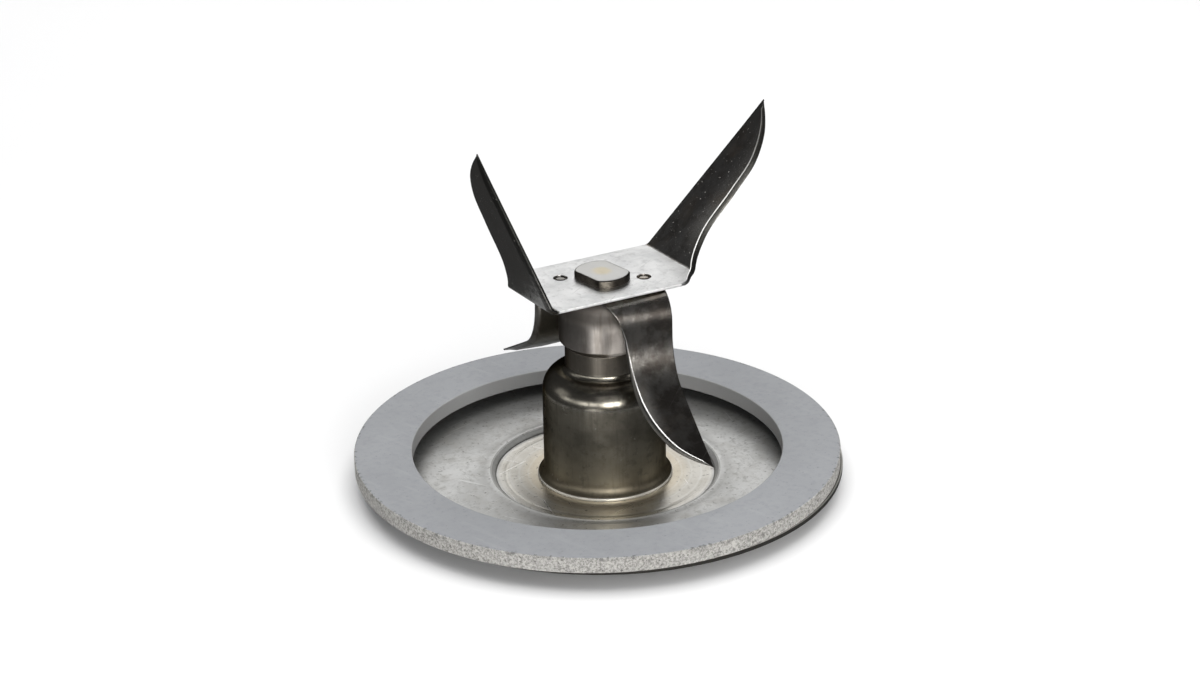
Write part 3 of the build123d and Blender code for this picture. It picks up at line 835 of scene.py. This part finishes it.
def bearing_housing():
    """The drawn cup: flared foot, barrel, rounded shoulder and neck."""
    foot = FOOT_BOTTOM
    flare_centre = (BARREL_RADIUS + FLARE_RADIUS, foot + FOOT_LIP + FLARE_RADIUS * sin(radians(FLARE_TURN)))
    shoulder_centre = (BARREL_RADIUS - SHOULDER_RADIUS, SHOULDER_TOP - SHOULDER_RADIUS)
    neck_centre_x = NECK_RADIUS + NECK_FILLET
    spacing = SHOULDER_RADIUS + NECK_FILLET
    neck_lift = (spacing**2 - (neck_centre_x - shoulder_centre[0])**2) ** 0.5
    neck_centre = (neck_centre_x, shoulder_centre[1] + neck_lift)
    meeting = degrees(atan2(neck_lift, neck_centre_x - shoulder_centre[0]))
    outline = rounded([
        (BARREL_BORE, foot, HOUSING_EDGE), (FOOT_RADIUS, foot, HOUSING_FINE_EDGE),
        (FOOT_RADIUS, foot + FOOT_LIP, FOOT_LIP_ROUND),
        (BARREL_RADIUS + 0.6, foot + FOOT_LIP + 0.2, 0),
    ])[:-1]
    outline += arc(flare_centre, FLARE_RADIUS, 180 + FLARE_TURN - 8, 180, 12)
    outline += arc(shoulder_centre, SHOULDER_RADIUS, 0, meeting, 20)
    outline += arc(neck_centre, NECK_FILLET, 180 + meeting, 180, 10)[1:]
    outline += rounded([
        (NECK_RADIUS, neck_centre[1], 0), (NECK_RADIUS, NECK_TOP, HOUSING_EDGE),
        (NECK_BORE, NECK_TOP, HOUSING_FINE_EDGE), (NECK_BORE, ROOF, HOUSING_EDGE),
        (BARREL_BORE, ROOF, ROOF_FILLET), (BARREL_BORE, foot + 2.0, 0),
    ])[1:-1]
    return turned("bearing_housing_cup", outline, housing_steel(), steps=240)


def spacer_collar():
    """The sleeve between the neck and the blades, recessed from below."""
    skirt_top = COLLAR_BOTTOM + COLLAR_SKIRT
    fine = COLLAR_FINE_EDGE
    corners = [
        (COLLAR_RECESS, COLLAR_BOTTOM, fine), (COLLAR_BOTTOM_RADIUS, COLLAR_BOTTOM, COLLAR_FOOT_EDGE),
        (COLLAR_RADIUS, skirt_top, COLLAR_SKIRT_EDGE), (COLLAR_RADIUS, COLLAR_TOP, COLLAR_EDGE),
        (SHAFT_RADIUS, COLLAR_TOP, fine), (SHAFT_RADIUS, skirt_top, fine), (COLLAR_RECESS, skirt_top, fine),
    ]
    return turned("spacer_collar_sleeve", rounded(corners), collar_steel(), steps=192)


def ring_stack(name, rings):
    """A closed mesh from rings of points, each with the same count, in millimetres, bottom to top."""
    count = len(rings[0])
    points = [tuple(c * MM for c in point) for ring in rings for point in ring]
    faces = [tuple(range(count))[::-1], tuple((len(rings) - 1) * count + i for i in range(count))]
    for row in range(len(rings) - 1):
        for i in range(count):
            j = (i + 1) % count
            faces.append((row * count + i, row * count + j, (row + 1) * count + j, (row + 1) * count + i))
    mesh = bpy.data.meshes.new(name)
    mesh.from_pydata(points, [], faces)
    return mesh


def double_d(radius, flat, blend=0.0):
    """Radius of a double-D outline, as a function of the angle from the flats' normal, corners eased."""
    def reach(turn):
        straight = flat / max(1e-6, abs(cos(turn)))
        ease = max(0.0, blend - abs(radius - straight)) if blend else 0.0
        return min(radius, straight) - (ease * ease / (4 * blend) if blend else 0.0)
    return reach


def drive_shaft():
    """The shaft from its riveted end to the peened head, as rings of points."""
    head_corner = acos(HEAD_FLAT / HEAD_RADIUS)
    shank_corner = acos(SHAFT_FLAT / SHAFT_RADIUS)
    turns = sorted({2 * pi * i / 120 for i in range(120)} | {
        (base + side * corner) % (2 * pi)
        for base in (0, pi) for side in (1, -1) for corner in (head_corner, shank_corner)
    })
    shank = double_d(SHAFT_RADIUS, SHAFT_FLAT)
    head = double_d(HEAD_RADIUS, HEAD_FLAT, HEAD_EASE)

    def ring(height, reach):
        spots = [(reach(t), t + radians(FLAT_ANGLE)) for t in turns]
        return [(r * cos(angle), r * sin(angle), height) for r, angle in spots]

    round_rings = [
        (RIVET_BOTTOM, RIVET_RADIUS - RIVET_EDGE), (RIVET_BOTTOM + RIVET_EDGE, RIVET_RADIUS),
        (RIVET_BOTTOM + RIVET_HEIGHT, RIVET_RADIUS), (RIVET_BOTTOM + RIVET_HEIGHT, SPIGOT_RADIUS),
        (SHAFT_FOOT, SPIGOT_RADIUS), (SHAFT_FOOT, SHAFT_RADIUS), (COLLAR_TOP, SHAFT_RADIUS),
    ]
    stack = [ring(height, lambda t: radius) for height, radius in round_rings]
    stack += [ring(COLLAR_TOP, shank), ring(UPPER_TOP, shank), ring(UPPER_TOP, head)]
    stack += [ring(HEAD_TOP - depth, lambda t: head(t) - inside) for depth, inside in HEAD_CROWN]
    stack += [ring(HEAD_TOP - depth, lambda t: radius) for depth, radius in HEAD_DIMPLE]
    mesh = ring_stack("drive_shaft_head", stack)
    mesh.materials.append(shaft_steel())
    piece = linked("drive_shaft_head", mesh)
    smoothed(piece, 36)
    return piece


class Fold:
    """Side view of a bent strip. Each run is (length on the blank, bend radius, turn in degrees)."""

    def __init__(self, *runs):
        self.runs = runs

    def at(self, reach):
        """(out, rise, heading) of the top face at a reach along the blank."""
        out, rise, heading = 0.0, 0.0, 0.0
        for number, (length, radius, turn) in enumerate(self.runs):
            last = number == len(self.runs) - 1
            part = reach if last else min(reach, length)
            if radius == 0:
                ahead, aside, turned_by = part, 0.0, 0.0
            else:
                turned_by = radians(turn) * part / length
                ahead = radius * sin(abs(turned_by))
                aside = radius * (1 - cos(turned_by)) * (1 if turn > 0 else -1)
            out += ahead * cos(heading) - aside * sin(heading)
            rise += ahead * sin(heading) + aside * cos(heading)
            heading += turned_by
            reach -= part
            if reach <= 0:
                break
        return out, rise, heading


def smooth_line(points, start, end, steps=24):
    """Points on a smooth curve through given points, with a direction in degrees at each end."""
    spots = [Vector(p) for p in points]
    times = [0.0]
    for a, b in zip(spots, spots[1:]):
        times.append(times[-1] + (b - a).length)
    slopes = [Vector((cos(radians(start)), sin(radians(start))))]
    for i in range(1, len(spots) - 1):
        before = (spots[i] - spots[i - 1]) / (times[i] - times[i - 1])
        after = (spots[i + 1] - spots[i]) / (times[i + 1] - times[i])
        near = times[i + 1] - times[i]
        far = times[i] - times[i - 1]
        slopes.append((before * near + after * far) / (near + far))
    slopes.append(Vector((cos(radians(end)), sin(radians(end)))))
    line = []
    for i in range(len(spots) - 1):
        span = times[i + 1] - times[i]
        for j in range(steps):
            u = j / steps
            line.append(spots[i] * (2 * u**3 - 3 * u**2 + 1) + slopes[i] * span * (u**3 - 2 * u**2 + u)
                        + spots[i + 1] * (3 * u**2 - 2 * u**3) + slopes[i + 1] * span * (u**3 - u**2))
    return [tuple(p) for p in line] + [tuple(spots[-1])]


def across(line, reach):
    """Height of a polyline at a reach, held at its ends."""
    if reach <= line[0][0]:
        return line[0][1]
    for (x0, y0), (x1, y1) in zip(line, line[1:]):
        if reach <= x1:
            return y0 + (y1 - y0) * (reach - x0) / max(1e-9, x1 - x0)
    return line[-1][1]


def edge_points(offset, inward, share, sheet, width):
    """One edge of the sheet, bottom to top, as (place across, depth); share is how far it is ground."""
    thin = sheet / BLADE_SHEET
    r = EDGE_ROUND * thin
    land = EDGE_LAND * thin
    deep = BEVEL_DEPTH * thin
    ridge = BEVEL_WIDTH + RIDGE_WIDTH
    room = min(1.0, 0.4 * width / EDGE_UNDERCUT)
    plain = [(EDGE_UNDERCUT, sheet), (0.4 * EDGE_UNDERCUT, 0.7 * sheet), (0.03, land + 0.04), (0, land),
             (0, r), (0.29 * r, 0.29 * r), (r, 0)]
    ground = [(0.3, sheet), (0.12, sheet - 0.01), (0.02, deep + 0.06), (0, deep + 0.02), (0.02, deep - 0.02),
              (BEVEL_WIDTH, 0.08 * deep), (ridge, 0)]
    return [(offset + inward * room * (a[0] + (b[0] - a[0]) * share), a[1] + (b[1] - a[1]) * share)
            for a, b in zip(plain, ground)]


def clamped(share):
    """A share held between 0 and 1."""
    return min(1.0, max(0.0, share))


def plan_axes(turn):
    """Directions along and across a blade, seen from above."""
    return Vector((cos(turn), sin(turn), 0)), Vector((-sin(turn), cos(turn), 0))


class Blade:
    """One blade by stations along its blank; the arm at negative stations repeats by half a turn."""

    def __init__(self, turn, top, root, tip, lead, trailing, folds, shading, grown):
        """Shading is where an arm's own finish starts and the length over which it comes in."""
        self.ahead, self.aside = plan_axes(turn)
        self.top = top
        self.root = root
        self.tip = tip
        self.lead = lead
        self.trailing = trailing
        self.folds = folds
        self.shading = shading
        self.grown = grown

    def leading(self, reach):
        return min(across(self.lead, reach), self.trailing(reach) - POINT_WIDTH)

    def width_at(self, station):
        low = self.leading(station) if station > self.root else -self.trailing(-station)
        high = -self.leading(-station) if station < -self.root else self.trailing(station)
        return low, high

    def ground_at(self, station):
        """How far each of the two edges is ground."""
        reach = abs(station)
        share = min(self.grown(reach), clamped((self.tip - reach) / BEVEL_RUN_OUT))
        return (share, 0.0) if station > 0 else (0.0, share)

    def sheet_at(self, station):
        """Sheet thickness: the ground point is thinner."""
        left = clamped((self.tip - abs(station)) / POINT_RUN)
        return BLADE_SHEET * (POINT_SHEET + (1 - POINT_SHEET) * left)

    def marks_at(self, station):
        """How far the finish has become the arm's, and the share of the arm's length."""
        start, run = self.shading[1 if station > 0 else -1]
        past = max(0.0, abs(station) - start)
        return min(1.0, past / run), past / (self.tip - start)

    def place(self, station, offset, depth):
        """A point of the folded sheet, at a depth under its top face."""
        side = 1 if station > 0 else -1
        out, rise, heading = self.folds[side].at(abs(station))
        out += depth * sin(heading)
        rise -= depth * cos(heading)
        spot = self.ahead * (side * out) + self.aside * offset
        return spot.x, spot.y, self.top + rise

    def piece(self, name, stations):
        """The blade as closed sections, with marks for its finish."""
        points, faces = [], []
        columns = BLADE_COLUMNS
        along = {"arm": [], "reach": [], "lead": []}
        by_face = {"ground": [], "ridge": [], "cut_edge": [], "under": []}
        for station in stations:
            low, high = self.width_at(station)
            low_share, high_share = self.ground_at(station)
            sheet = self.sheet_at(station)
            first = edge_points(low, 1, low_share, sheet, high - low)
            second = edge_points(high, -1, high_share, sheet, high - low)
            margin = min(0.08, EDGE_COLUMN / (high - low))
            places = [margin + (1 - 2 * margin) * i / (columns - 2) for i in range(columns - 1)]
            upper = [(first[-1][0] + (second[-1][0] - first[-1][0]) * share, 0) for share in places]
            lower = [(second[0][0] + (first[0][0] - second[0][0]) * share, sheet) for share in places]
            section = first + upper + second[::-1] + lower
            arm, reach = self.marks_at(station)
            for offset, depth in section:
                points.append(tuple(c * MM for c in self.place(station, offset, depth)))
                along["arm"].append(arm)
                along["reach"].append(reach)
                from_low = (offset - low) / (high - low)
                along["lead"].append(1 - from_low if station > 0 else from_low)
        count = len(section)
        side = len(first)
        for row in range(len(stations) - 1):
            shares = self.ground_at((stations[row] + stations[row + 1]) / 2)
            for i in range(count):
                j = (i + 1) % count
                faces.append((row * count + i, row * count + j, (row + 1) * count + j, (row + 1) * count + i))
                mirrored = 2 * side + columns - 3 - i
                low_edge = i < side - 1
                spot = i if low_edge else mirrored
                on_edge = 0 <= spot < side - 1
                share = shares[0] if low_edge else shares[1]
                by_face["ground"].append(share if on_edge and 2 <= spot <= 4 else 0.0)
                by_face["ridge"].append(share if on_edge and spot == 5 else 0.0)
                by_face["cut_edge"].append(1.0 if on_edge and (spot < 2 or share < 0.02) else 0.0)
                by_face["under"].append(1.0 if i >= 2 * side + columns - 2 else 0.0)
        faces += [tuple(range(count))[::-1], tuple((len(stations) - 1) * count + i for i in range(count))]
        for label, values in by_face.items():
            values += [1.0 if label == "cut_edge" else 0.0] * 2
        mesh = bpy.data.meshes.new(name)
        mesh.from_pydata(points, [], faces)
        for domain, marks in (("POINT", along), ("FACE", by_face)):
            for label, values in marks.items():
                mesh.attributes.new(label, "FLOAT", domain).data.foreach_set("value", values)
        mesh.materials.append(BLADE_FINISH)
        return linked(name, mesh)


def spread(*breaks):
    """Stations between break points, each given with the number of steps that lead to it."""
    stations = [breaks[0][0]]
    for (start, _), (end, steps) in zip(breaks, breaks[1:]):
        stations += [start + (end - start) * (i + 1) / steps for i in range(steps)]
    return stations


def tip_spacing(start, end, steps):
    """Stations that close up towards the tip."""
    return [start + (end - start) * sin(pi / 2 * (i + 1) / steps) ** 0.8 for i in range(steps)]


def upper_blade():
    """The blade with its arms folded up, each by its own angle, along skewed lines."""
    skew = radians(UPPER_SKEW)
    slope = radians(UPPER_ROOT_SLOPE)
    ahead, aside = plan_axes(skew)
    start_x, start_y = UPPER_ROOT_LINE
    root_line = [(start_x + step * cos(slope), start_y + step * sin(slope)) for step in UPPER_ROOT_STEPS]
    outline = smooth_line([UPPER_ROOT, root_line[0]], 0, UPPER_ROOT_SLOPE)
    outline += smooth_line([root_line[1], *UPPER_LEAD], UPPER_ROOT_SLOPE, UPPER_TIP_SLOPE)
    spots = [Vector((*point, 0)) for point in outline]
    lead = [(spot.dot(ahead), spot.dot(aside)) for spot in spots]
    root = lead[0][0]
    tip = lead[-1][0]
    closing = tip * UPPER_CLOSING
    folds, shading, arms = {}, {}, {}
    for side, bend in UPPER_BENDS.items():
        setback = UPPER_BEND_RADIUS * tan(radians(bend) / 2)
        near, far = UPPER_FOLD - setback, UPPER_FOLD + setback
        folds[side] = Fold((near, 0, 0), (2 * setback, UPPER_BEND_RADIUS, bend), (1, 0, 0))
        shading[side] = (near, 2 * setback)
        arms[side] = spread((near, 0), (far, 12), (closing, 40))[1:] + tip_spacing(closing, tip, 26)

    def trailing(reach):
        return (UPPER_HALF_WIDTH - reach * sin(skew)) / cos(skew)

    def grown(reach):
        return clamped((reach - root) / BEVEL_RUN_IN)

    stations = [-s for s in reversed(arms[-1])]
    stations += spread((-shading[-1][0], 0), (-root, 10), (root, 12), (shading[1][0], 10))
    stations += arms[1]
    blade = Blade(skew, UPPER_TOP, root, tip, lead, trailing, folds, shading, grown)
    piece = blade.piece("upper_blade_sheet", stations)
    press_studs(piece)
    smoothed(piece, BLADE_SHARP)
    return piece


def press_studs(blade):
    """Two shallow round pressed marks beside the shaft, each a groove round a raised middle."""
    floor = UPPER_TOP - STUD_DEPTH
    wall = [(STUD_RADIUS, UPPER_TOP + 0.3)]
    wall += arc((STUD_RADIUS - STUD_CORNER, floor + STUD_CORNER), STUD_CORNER, 0, -90, 4)
    wall += [(STUD_RADIUS * share, floor + rise) for share, rise in STUD_GROOVE]
    turns = [2 * pi * i / 48 for i in range(48)]
    for number in range(2):
        stud_turn = radians(STUD_ANGLE + 180 * number)
        x, y = STUD_CIRCLE * cos(stud_turn), STUD_CIRCLE * sin(stud_turn)
        stack = [[(x + r * cos(t), y + r * sin(t), z) for t in turns] for r, z in reversed(wall)]
        cutter = linked("stud_cutter", ring_stack("stud_cutter", stack))
        cut = blade.modifiers.new("stud", "BOOLEAN")
        cut.operation = "DIFFERENCE"
        cut.solver = "EXACT"
        cut.object = cutter
        plain_mesh(blade)
        bpy.data.objects.remove(cutter)


def bowed(start, end, bow, steps=16):
    """Points from start towards end, bowed sideways in the middle."""
    line = []
    for i in range(steps):
        u = i / steps
        line.append((start[0] + (end[0] - start[0]) * u,
                     start[1] + (end[1] - start[1]) * u + bow * 4 * u * (1 - u)))
    return line


def lower_blade():
    """The blade with its arms folded down, then turned out into a flare."""
    fold_end = LOWER_FOLD + LOWER_FOLD_RADIUS * radians(LOWER_FOLD_BEND)
    run_end = fold_end + LOWER_DROP
    flare_start = run_end + LOWER_TURN_RADIUS * radians(LOWER_TURN_BEND)
    tip = flare_start + LOWER_FLARE
    root = LOWER_ROOT[0]
    fold = Fold((LOWER_FOLD, 0, 0), (fold_end - LOWER_FOLD, LOWER_FOLD_RADIUS, -LOWER_FOLD_BEND),
                (LOWER_DROP, 0, 0), (flare_start - run_end, LOWER_TURN_RADIUS, LOWER_TURN_BEND), (1, 0, 0))
    lead = [LOWER_ROOT]
    lead += bowed((LOWER_FOLD, LOWER_FOLD_OFFSETS[0]), (fold_end, LOWER_FOLD_OFFSETS[1]), LOWER_FOLD_BOW)
    lead += bowed((fold_end, LOWER_FOLD_OFFSETS[1]), (run_end, LOWER_RUN_OFFSET), 0)
    lead += bowed((run_end, LOWER_RUN_OFFSET), (flare_start, LOWER_FLARE_OFFSET), LOWER_TURN_BOW)
    flare = [(flare_start, LOWER_FLARE_OFFSET)] + [(flare_start + a, b) for a, b in LOWER_LEAD]
    lead += smooth_line(flare, LOWER_FLARE_SLOPE, LOWER_TIP_SLOPE)

    def trailing(reach):
        return LOWER_HALF_WIDTH

    def grown(reach):
        if reach <= fold_end:
            return 0.0
        more = (1 - LOWER_BEVEL_START) * (reach - fold_end) / (flare_start - fold_end)
        return clamped(LOWER_BEVEL_START + more)

    closing = tip - LOWER_CLOSING
    arm = spread((LOWER_FOLD, 0), (fold_end, 28), (run_end, 6), (flare_start, 28), (closing, 16))[1:]
    arm += tip_spacing(closing, tip, 20)
    stations = [-s for s in reversed(arm)]
    stations += spread((-LOWER_FOLD, 0), (-root, 6), (root, 4), (LOWER_FOLD, 6))
    stations += arm
    folds = dict.fromkeys((1, -1), fold)
    shading = dict.fromkeys((1, -1), (LOWER_FOLD, LOWER_SHADING))
    blade = Blade(radians(LOWER_ANGLE), LOWER_TOP, root, tip, lead, trailing, folds, shading, grown)
    piece = blade.piece("lower_blade_sheet", stations)
    smoothed(piece, BLADE_SHARP)
    return piece


def studio_floor():
    """Plain floor, kept out of the steel's mirror images."""
    half = FLOOR_HALF * MM
    corners = [(-half, -half, 0), (half, -half, 0), (half, half, 0), (-half, half, 0)]
    mesh = bpy.data.meshes.new("studio_floor")
    mesh.from_pydata(corners, [], [(0, 1, 2, 3)])
    mesh.materials.append(floor_paper())
    floor = linked("studio_floor", mesh)
    floor.visible_glossy = False


def soft_light(name, azimuth, elevation, distance, size, watts, colour=(1, 1, 1), in_gloss=True,
               in_matt=True):
    """A soft box that faces the part. Azimuth is taken from straight behind the part, seen by the camera."""
    forward = Vector(CAMERA_AIM) - Vector(CAMERA_PLACE)
    turn = atan2(forward.y, forward.x) - radians(azimuth)
    lift = radians(elevation)
    target = Vector((0, 0, LIGHTS_AIM * MM))
    place = target + Vector((cos(turn) * cos(lift), sin(turn) * cos(lift), sin(lift))) * distance
    data = bpy.data.lights.new(name, "AREA")
    data.shape = "RECTANGLE"
    data.size, data.size_y = size
    data.energy = watts
    data.color = colour
    light = linked(name, data)
    light.location = place
    light.rotation_euler = (target - place).to_track_quat("-Z", "Y").to_euler()
    light.visible_camera = False
    light.visible_glossy = in_gloss
    light.visible_diffuse = in_matt


def front_reflector():
    """A small card lying before the part, seen only in its gloss."""
    back = Vector(CAMERA_PLACE[:2]).normalized()
    turn = Quaternion((0, 0, 1), radians(REFLECTOR_TURN))
    ahead = turn @ Vector((*back, 0))
    data = bpy.data.lights.new("front_reflector", "AREA")
    data.shape = "RECTANGLE"
    data.size, data.size_y = [side * MM for side in REFLECTOR_SIZE]
    data.energy = 0.0075
    light = linked("front_reflector", data)
    light.location = ahead * (REFLECTOR_AWAY * MM) + Vector((0, 0, REFLECTOR_HEIGHT * MM))
    light.rotation_euler = (pi, 0, atan2(ahead.y, ahead.x) - pi / 2)
    light.visible_camera = False
    light.visible_diffuse = False


def studio():
    """Studio air, soft lights and the camera."""
    scene = bpy.context.scene
    world = bpy.data.worlds.new("studio_air")
    world.use_nodes = True
    world.node_tree.nodes["Background"].inputs["Color"].default_value = (0.06, 0.06, 0.062, 1)
    scene.world = world
    scene.view_settings.view_transform = "Standard"
    soft_light("back_panel", 0, 27, 0.7, (0.5, 0.34), 0.58)
    soft_light("front_strip", 165, 14, 0.75, (0.36, 0.24), 2.1)
    soft_light("front_sweep", 196, 13, 0.75, (0.74, 0.18), 1.1)
    soft_light("left_sweep", 242, 12, 0.75, (0.60, 0.14), 0.34, in_matt=False)
    soft_light("front_panel", 172, 40, 0.75, (0.45, 0.45), 0.24)
    soft_light("right_card", 140, 19, 0.75, (0.25, 0.20), 0.135, (1.0, 0.90, 0.80))
    soft_light("warm_card", 172, 3, 0.6, (0.14, 0.03), 0.05, (1.0, 0.74, 0.40))
    soft_light("top_box", 0, 88, 1.1, (1.3, 1.3), 15.0, in_gloss=False)
    soft_light("front_fill", 135, 36, 1.0, (0.8, 0.5), 2.1, in_gloss=False)
    soft_light("right_panel", 92, 24, 0.75, (0.36, 0.30), 0.22)
    soft_light("left_panel", 272, 24, 0.75, (0.30, 0.30), 0.16)
    soft_light("zenith_panel", 0, 89, 0.9, (0.32, 0.32), 0.07)
    front_reflector()
    camera_data = bpy.data.cameras.new("photo_camera")
    camera_data.lens = CAMERA_LENS
    camera_data.sensor_width = CAMERA_SENSOR
    camera_data.clip_start = 0.01
    camera = linked("photo_camera", camera_data)
    place = Vector(CAMERA_PLACE) * MM
    look = (Vector(CAMERA_AIM) * MM - place).to_track_quat("-Z", "Y")
    camera.location = place
    camera.rotation_euler = (look @ Quaternion((0, 0, 1), CAMERA_ROLL)).to_euler()
    scene.camera = camera


TURNING = turning_tree()
BLADE_FINISH = blade_steel()

for make, body, node, slot in (
    (base_plate, "base", "base_plate", "plate_steel"),
    (sealing_ring, "base", "sealing_ring", "grey_rubber"),
    (bearing_housing, "base", "bearing_housing", "housing_steel"),
    (spacer_collar, "rotor", "spacer_collar", "collar_steel"),
    (drive_shaft, "rotor", "drive_shaft", "shaft_steel"),
    (lower_blade, "rotor", "lower_blade", "blade_steel"),
    (upper_blade, "rotor", "upper_blade", "blade_steel"),
):
    piece = make()
    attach(piece, body)
    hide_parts(node)

bronze = bush_bronze()
nylon = washer_nylon()
for node, finish in (
    ("upper_bearing", bronze),
    ("lower_bearing", bronze),
    ("oil_felt", oiled_felt()),
    ("shaft_seal", seal_rubber()),
    ("neck_washer", nylon),
    ("thrust_washer", nylon),
    ("drive_coupling", sintered_steel()),
):
    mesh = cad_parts[node].data
    mesh.materials.clear()
    mesh.materials.append(finish)

studio_floor()
studio()
